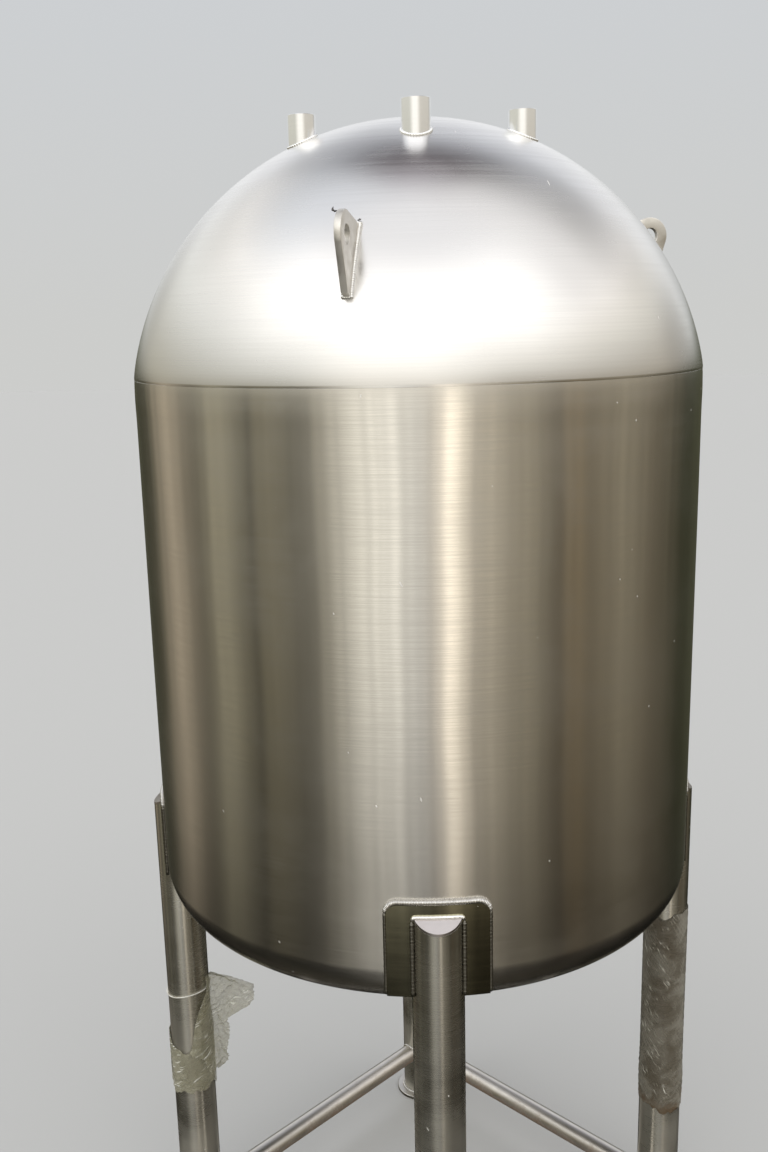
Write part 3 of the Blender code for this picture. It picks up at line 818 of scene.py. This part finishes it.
def ragged(along, seed, depth):
    """A torn edge's run: short random walks of a few waves added up, from -depth to depth."""
    chance = np.random.default_rng(seed)
    waves = 0.0
    for k in (1, 2, 3, 5, 8, 13, 21):
        waves = waves + chance.uniform(0.3, 1.0) / k**0.35 * np.sin(k * along + chance.uniform(0, 6))
    return depth * np.tanh(waves / 1.3)


def sleeve(columns, rows, low, high, loose, seed, pitch, folds, lean, low_tear, high_tear, skew=0.0):
    """Film wound once round a leg at the front and lapped over itself, as a grid of (height, turn).

    The radius is the leg's, plus a hair, plus the looseness at that height times the creases, and it
    grows a little over the lap. The top and bottom follow torn edges, and the top slants by the skew.
    """
    turn = np.linspace(-0.25, 2 * np.pi + 0.35, columns)
    bottom = low + low_tear + ragged(turn, seed + 1, low_tear)
    top = high - high_tear + ragged(turn, seed + 2, high_tear) + skew * np.sin(turn)
    share = np.linspace(0.0, 1.0, rows)[:, None]
    height = bottom + share * (top - bottom)
    folds = creased(leg_radius * turn[None], height, pitch, folds, seed, lean)
    radius = leg_radius + 0.0006 + 0.0005 * turn / 6 + loose(share, turn) * folds
    return np.stack([radius * np.sin(turn), -leg_circle - radius * np.cos(turn), height], -1)


def old_film(name, cover, haze_and_shade_tone, leg_x, mud_height, slant, glints, lit_from, lit_to):
    """Hazy film. It shows most where it turns away and where mud has dried on it, and painted glints lie in
    its creases.

    The creases are fine slanted strokes in loose rows, drawn on the film as it lies round the leg,
    unrolled flat: the distance round the leg across, and the height up. Painted glints, pale and white,
    run along the strokes and make the film more opaque there, in rows on the side of the leg that the
    light falls on.
    """
    material, tree, shader = new_material(name)
    place = object_place(tree)
    apart = node(tree, "SeparateXYZ", {0: place}).outputs
    from_axis = math("SUBTRACT", apart[0], leg_x)
    turned = math("ARCTAN2", from_axis, math("MULTIPLY", apart[1], -1.0))
    off_axis = vector("LENGTH", node(tree, "CombineXYZ", {0: from_axis, 1: apart[1]}).outputs[0])
    round_leg = math("MULTIPLY_ADD", turned, leg_radius, off_axis)
    flat = node(tree, "CombineXYZ", {0: round_leg, 1: apart[2]}).outputs[0]
    wide = noise(place, 20.0, 5.0, 0.6, 0.5)
    swayed = vector("MULTIPLY_ADD", wide["Color"], (0.016, 0.016, 0.0), flat)
    drawn = vector("MULTIPLY", rotated(swayed, (0.0, 0.0, slant)), (40.0, 330.0, 1.0))
    strokes = noise(drawn, 1.0, 1.5)[0]
    rows = spread(noise(flat, 34.0, 2.0)[0], 0.42, 0.66)
    # Painted glints and sparkle: bright strokes along the creases, only in rows on the side of the leg that
    # the light falls on, between lit_from and lit_to.
    where = math("MULTIPLY", rows, spread(turned, lit_from, lit_to))
    painted_glint = math("MULTIPLY", spread(strokes, 0.57, 0.68), where)
    painted_sparkle = spread(strokes, 0.72 - 0.10 * glints, 0.80 - 0.10 * glints)
    painted_sparkle = math("MULTIPLY", painted_sparkle, math("POWER", where, 2.0))
    relief = math("MULTIPLY_ADD", strokes, 0.4, wide[0])
    bump = bumped(relief, 0.006)
    aside = node(tree, "LayerWeight", {"Blend": 0.5, "Normal": bump}).outputs["Facing"]
    wavy = math("MULTIPLY_ADD", wide[0], 0.14, apart[2])
    mud = spread(wavy, mud_height + 0.092, mud_height + 0.052)
    patchy = math("MULTIPLY", spread(wide[0], 0.40, 0.66), 0.12)
    # The colour is paler where the film turns away and in random patches, and the painted glints make it pale
    # and white along the creases.
    haze_and_glint = math("MULTIPLY_ADD", aside, 0.25, math("MULTIPLY_ADD", painted_glint, glints, patchy), clamp=True)
    colour = mixed(haze_and_glint, haze_and_shade_tone, (0.86, 0.85, 0.76))
    colour = mixed(painted_sparkle, colour, (0.95, 0.95, 0.92))
    # The film is more opaque where it turns away, in random patches, and under the painted glints.
    veil_and_glint = math("MULTIPLY_ADD", math("POWER", aside, 2.0), 0.35, math("ADD", patchy, cover))
    veil_and_glint = math("MULTIPLY_ADD", math("MAXIMUM", painted_sparkle, math("MULTIPLY", painted_glint, 0.5)), 0.6, veil_and_glint)
    finish = {
        "Base Color": mixed(mud, colour, (0.10, 0.068, 0.037)),
        "Alpha": math("MULTIPLY_ADD", mud, 0.4, veil_and_glint, clamp=True),
        "Roughness": math("MULTIPLY_ADD", mud, 0.5, 0.14, clamp=True),
        "Normal": bump,
    }
    feed(shader, finish)
    return material


def thin_sheet(name, points, material, node_name):
    """A film surface given its thickness, 0.2 mm."""
    sheet = piece(name, surface(points, sharp=60.0), material, [node_name])
    body = sheet.modifiers.new("thickness", "SOLIDIFY")
    body.thickness, body.offset = 0.0002, 0.0
    return sheet


def right_looseness(share, turn):
    """The sleeve is tight, but bags out near its foot and stands off the leg's outer side high up."""
    bag = 0.0060 * np.exp(-(((share - 0.12) / 0.10) ** 2))
    flare = 0.010 * np.exp(-(((share - 0.84) / 0.05) ** 2)) * np.clip(np.cos(turn - 1.2), 0, 1) ** 3
    return 0.0030 + bag + flare


mud_level = right_low.z + 0.022
# The right sleeve's haze tone is dark brown. Its darkness is painted shade: the same film on the left leg is
# far paler.
sleeve_film = old_film("hazy_film", 0.56, (0.088, 0.068, 0.041), leg_circle, mud_level, 0.95, 0.50, 0.5, -0.1)
wound = sleeve(168, 210, right_low.z, right_high.z, right_looseness, 4, 0.016, 6, 2.2, 0.010, 0.008)
film_right = thin_sheet("film_sleeve_right", turned_to(wound, 90.0), sleeve_film, "film_wrap_right")


def left_looseness(share, turn):
    """The short sleeve hangs loose, and loosest on one side, at every height alike."""
    return 0.0110 + 0.004 * np.cos(turn - 1.6)


torn_film = old_film("torn_film", 0.34, (0.32, 0.30, 0.20), -leg_circle, 0.20, -0.5, 1.1, 2.6, 1.8)
wound = sleeve(168, 100, left_low.z, 0.490, left_looseness, 11, 0.020, 6, None, 0.012, 0.010, skew=-0.030)
film_left = thin_sheet("film_sleeve_left", turned_to(wound, -90.0), torn_film, "film_wrap_left")

# Above the left sleeve, the film's torn end stands away from the leg in a crumpled tongue. Its two edges
# are given as distances from the leg's axis at a few heights.
tongue_heights = [0.392, 0.400, 0.412, 0.455, 0.504, 0.512, 0.528, 0.541, 0.572, 0.588, 0.595]
tongue_reach = [0.0500, 0.0600, 0.0694, 0.0694, 0.0743, 0.0878, 0.1130, 0.1249, 0.1199, 0.0800, 0.0430]
rows, columns = 110, 56
height = np.linspace(tongue_heights[0], tongue_heights[-1], rows)[:, None]
out_share = np.linspace(0.0, 1.0, columns)[None]
reach_here = np.interp(height, tongue_heights, tongue_reach) + 0.004 * ragged(height * 60, 5, 1.0)
start_heights = [0.392, 0.430, 0.449, 0.463, 0.496, 0.529, 0.562, 0.595]
start = np.interp(height, start_heights, [0.036, 0.026, 0.002, 0.008, 0.013, 0.022, 0.036, 0.037])
out_from_leg = start + out_share * (reach_here - start)
over_leg = np.sqrt(np.maximum((leg_radius + 0.003) ** 2 - out_from_leg**2, 0.0))
lift = creased(out_from_leg, height, 0.019, 6, 21) * 0.034
roll = 0.006 * (1.0 + np.sin(out_share * np.pi * 2.2 + 14 * height))
forward = over_leg + lift + roll * np.clip(out_share * 3, 0, 1)
tongue = np.stack(np.broadcast_arrays(out_from_leg - leg_circle, -forward, height), -1)
film_tongue = thin_sheet("film_tongue_left", tongue, torn_film, "film_wrap_left")

# A thin white tie is looped once round the left leg above the sleeve and hangs lower on its outer side.
# It is a string of two turned strands.
tie_height, tie_slope, tie_radius = 0.563, 0.15, 0.0012
string, tree, shader = new_material("white_string")
place = object_place(tree)
soil = spread(noise(place, 60.0, 3.0)[0], 0.4, 0.7)
feed(shader, {"Base Color": mixed(soil, (0.80, 0.79, 0.74), (0.55, 0.52, 0.45)), "Roughness": 0.6})
feed(shader, {"Normal": bumped(noise(place, 900.0, 2.0)[0], 0.0003, 0.5)})
turn = full_turn(240)[:, None]
twist = full_turn(12)[None]
thick = tie_radius * (0.90 + 0.10 * np.cos(2 * twist + 70 * turn))
circle = leg_radius + 0.0003 + tie_radius + thick * np.cos(twist)
loop_x = -leg_circle + circle * np.sin(turn)
loop_y = -circle * np.cos(turn)
uneven = 0.0008 * np.sin(3 * turn + 1.0)
loop_z = tie_height + tie_slope * (loop_x + leg_circle) + thick * np.sin(twist) + uneven
loop = surface(np.stack([loop_x, loop_y, loop_z], -1), around=True, along=True, sharp=80.0)
piece("tie_loop", loop, string, ["leg_tie_left"])

# The pale floor, which isn't part of the tank. It is dull, and the steel doesn't mirror it, because the
# light's lower half stands in for what lies round the tank.
floor_points = np.array([[[-30.0, -30.0, 0.0], [30.0, -30.0, 0.0]], [[-30.0, 30.0, 0.0], [30.0, 30.0, 0.0]]])
floor = bpy.data.objects.new("floor", surface(floor_points))
bpy.context.scene.collection.objects.link(floor)
floor_finish, _, shader = new_material("pale_floor")
feed(shader, {"Base Color": (0.50, 0.50, 0.49, 1.0), "Roughness": 0.9})
floor.data.materials.append(floor_finish)
floor.visible_glossy = False

# The light is a pale dome, whitest in front, over a dim, warm lower half with tall strips in it, which
# draw the upright bands on the polished steel. The camera sees a plain backdrop.
world = bpy.data.worlds.new("studio")
bpy.context.scene.world = world
world.use_nodes = True
tree = world.node_tree
tree.nodes.clear()
heading = node(tree, "TexCoord").outputs["Generated"]
facing = node(tree, "SeparateXYZ", {0: heading}).outputs
azimuth = math("ARCTAN2", facing[0], math("MULTIPLY", facing[1], -1.0))
azimuth = math("MULTIPLY_ADD", azimuth, 0.5 / np.pi, 0.5)
elevation = math("MULTIPLY_ADD", math("ARCSINE", facing[2]), 1 / np.pi, 0.5)


def ramp(scale, stops, reach=90):
    """Colours along a scale, given as rising rows of (place, red, green, blue) or (place, grey).

    The scale's own value runs from 0 to 1 while the places run from minus the reach to the reach.
    """
    made = node(tree, "ValToRGB", {"Fac": scale})
    elements = made.color_ramp.elements
    for i, (at, *colour) in enumerate([stops[0], stops[-1], *stops[1:-1]]):
        place = (at + reach) / (2 * reach)
        stop = elements[i] if i < 2 else elements.new(place)
        stop.position = place
        stop.color = (*colour, 1.0) if len(colour) == 3 else (*colour * 3, 1.0)
    return made.outputs["Color"]


# Strips by azimuth, with the tint that goes with each place.
strips = [
    (-180, 0.08), (-148, 0.05), (-137, 0.08), (-119, 0.47), (-99, 0.14), (-88, 0.38), (-70, 0.1), (-64, 0.23),
    (-52, 0.14), (-42, 0.22), (-38, 0.48), (-32, 0.66), (-22, 1.24), (-13, 1.2), (-9, 1.25), (-6, 0.88),
    (-2, 0.86), (5.5, 1.06), (9.5, 2.05), (14, 1.12), (20, 0.56), (27.5, 0.62), (32, 0.36), (40, 0.41),
    (46, 0.21), (54, 0.15), (62, 0.26), (66, 0.18), (86, 0.27), (100, 0.16), (128, 0.04), (180, 0.08),
]
tint_at = [-180, -140, -119, -88, -60, -27, -2, 6, 20, 45, 62, 72, 100, 140, 180]
green = [1.0, 0.95, 0.86, 0.92, 0.89, 0.97, 0.98, 0.92, 0.91, 0.88, 0.78, 0.90, 0.86, 1.10, 1.0]
blue = [0.60, 0.62, 0.65, 0.66, 0.58, 0.87, 0.92, 0.80, 0.74, 0.63, 0.46, 0.66, 0.60, 0.55, 0.60]
strips = [(at, v, v * np.interp(at, tint_at, green), v * np.interp(at, tint_at, blue)) for at, v in strips]
falls = [
    (-90, 0.16), (-64, 0.13), (-50, 0.07), (-42, 0.035), (-32, 0.035), (-29.5, 0.12), (-26.5, 0.56),
    (-20, 0.9), (-14, 1), (-7, 1.04), (-3, 1.16), (1, 1.05), (90, 0.6),
]
lower = mixed(1.0, ramp(azimuth, strips, 180), ramp(elevation, falls), "MULTIPLY")
slits = {"W": math("MULTIPLY", azimuth, 110.0), "Scale": 1.0, "Detail": 2.0, "Roughness": 0.6}
slits = node(tree, "TexNoise", slits, noise_dimensions="1D").outputs[0]
lower = mixed(1.0, lower, spread(slits, 0.25, 0.75, 0.72, 1.28), "MULTIPLY")
# The light above the lower half, by elevation, in front, at both sides and behind.
front = [
    (-90, 0.84, 0.8, 0.73), (3, 0.84, 0.8, 0.73), (9, 1.12, 1.08, 0.98), (17, 1.32, 1.28, 1.18),
    (22, 1.6, 1.57, 1.48), (30, 1.9, 1.9, 1.86), (48, 2, 2, 2), (66, 1.18, 1.19, 1.23),
    (90, 1.27, 1.29, 1.34),
]
left = [
    (-90, 0.58, 0.56, 0.46), (6, 0.58, 0.56, 0.46), (12, 0.71, 0.7, 0.63), (18, 0.93, 0.94, 0.89),
    (24, 1.15, 1.17, 1.14), (37, 1.34, 1.33, 1.3), (40.5, 1.58, 1.56, 1.52), (44, 1.36, 1.36, 1.36),
    (54, 1.11, 1.16, 1.24), (66, 1.03, 1.08, 1.17), (90, 1.13, 1.15, 1.21),
]
right = [
    (-90, 0.59, 0.54, 0.45), (6, 0.59, 0.54, 0.45), (12, 0.66, 0.63, 0.56), (18, 0.95, 0.93, 0.86),
    (24, 1.21, 1.18, 1.09), (28, 1.3, 1.26, 1.2), (31, 1.54, 1.5, 1.46), (34.5, 1.3, 1.28, 1.27),
    (42, 1.22, 1.21, 1.21), (60, 1.23, 1.23, 1.25), (90, 1.22, 1.22, 1.25),
]
back = [
    (-90, 0.25, 0.28, 0.16), (0, 0.25, 0.28, 0.16), (5, 0.85, 0.87, 0.86), (22, 1.08, 1.1, 1.13),
    (40, 0.96, 0.99, 1.06), (50, 0.74, 0.77, 0.84), (57, 0.34, 0.35, 0.4), (61, 0.08, 0.07, 0.08),
    (70, 0.08, 0.05, 0.06), (77, 0.42, 0.39, 0.44), (84, 1, 0.99, 1.06), (90, 1.15, 1.14, 1.18),
]
narrow = [(-180, 0), (-52, 0), (-24, 1), (4, 1), (32, 0), (180, 0)]
broad = [(-180, 0), (-98, 0), (-62, 1), (48, 1), (78, 0), (180, 0)]
opening = ramp(elevation, [(-90, 0), (15, 0), (38, 1), (90, 1)])
to_front = mixed(opening, ramp(azimuth, narrow, 180), ramp(azimuth, broad, 180))
behind = [(-180, 1), (-160, 1), (-143, 0.25), (-130, 0), (108, 0), (120, 0.2), (142, 1), (180, 1)]
on_the_right = math("GREATER_THAN", azimuth, 0.5)
sides = mixed(on_the_right, ramp(elevation, left), ramp(elevation, right))
sky = mixed(to_front, sides, ramp(elevation, front))
sky = mixed(ramp(azimuth, behind, 180), sky, ramp(elevation, back))
# Clouds in the light, lighter or darker: azimuth, elevation, radius in degrees and strength.
clouds = [(-164, 48, 16, -0.28), (-137, 45, 24, -0.20), (-150, 8, 18, -0.20), (155, 2, 18, -0.32)]
clouds += [(124, 5, 18, -0.26), (118, 38, 22, -0.26), (127, 53, 22, -0.32)]
thick = 1.0
for turn, lift, radius, strength in clouds:
    turn, lift = np.radians(turn), np.radians(lift)
    centre = (np.sin(turn) * np.cos(lift), -np.cos(turn) * np.cos(lift), np.sin(lift))
    near = vector("DOT_PRODUCT", heading, centre)
    here = spread(near, np.cos(np.radians(radius)), 1.0, 1.0, 1.0 + strength)
    thick = math("MULTIPLY", here, thick)
sky = mixed(1.0, sky, thick, "MULTIPLY")
around_tank = mixed(ramp(elevation, [(-90, 0), (-1, 0), (6, 1), (90, 1)]), lower, sky)
backdrop = [
    (-90, 0.607, 0.611, 0.599), (0, 0.607, 0.611, 0.599), (35, 0.61, 0.65, 0.71), (90, 0.62, 0.68, 0.75),
]
seen = node(tree, "LightPath").outputs["Is Camera Ray"]
shown = mixed(seen, around_tank, ramp(elevation, backdrop))
light = node(tree, "Background", {"Color": shown})
node(tree, "OutputWorld", {"Surface": light.outputs[0]})
bpy.context.scene.view_settings.view_transform = "Standard"
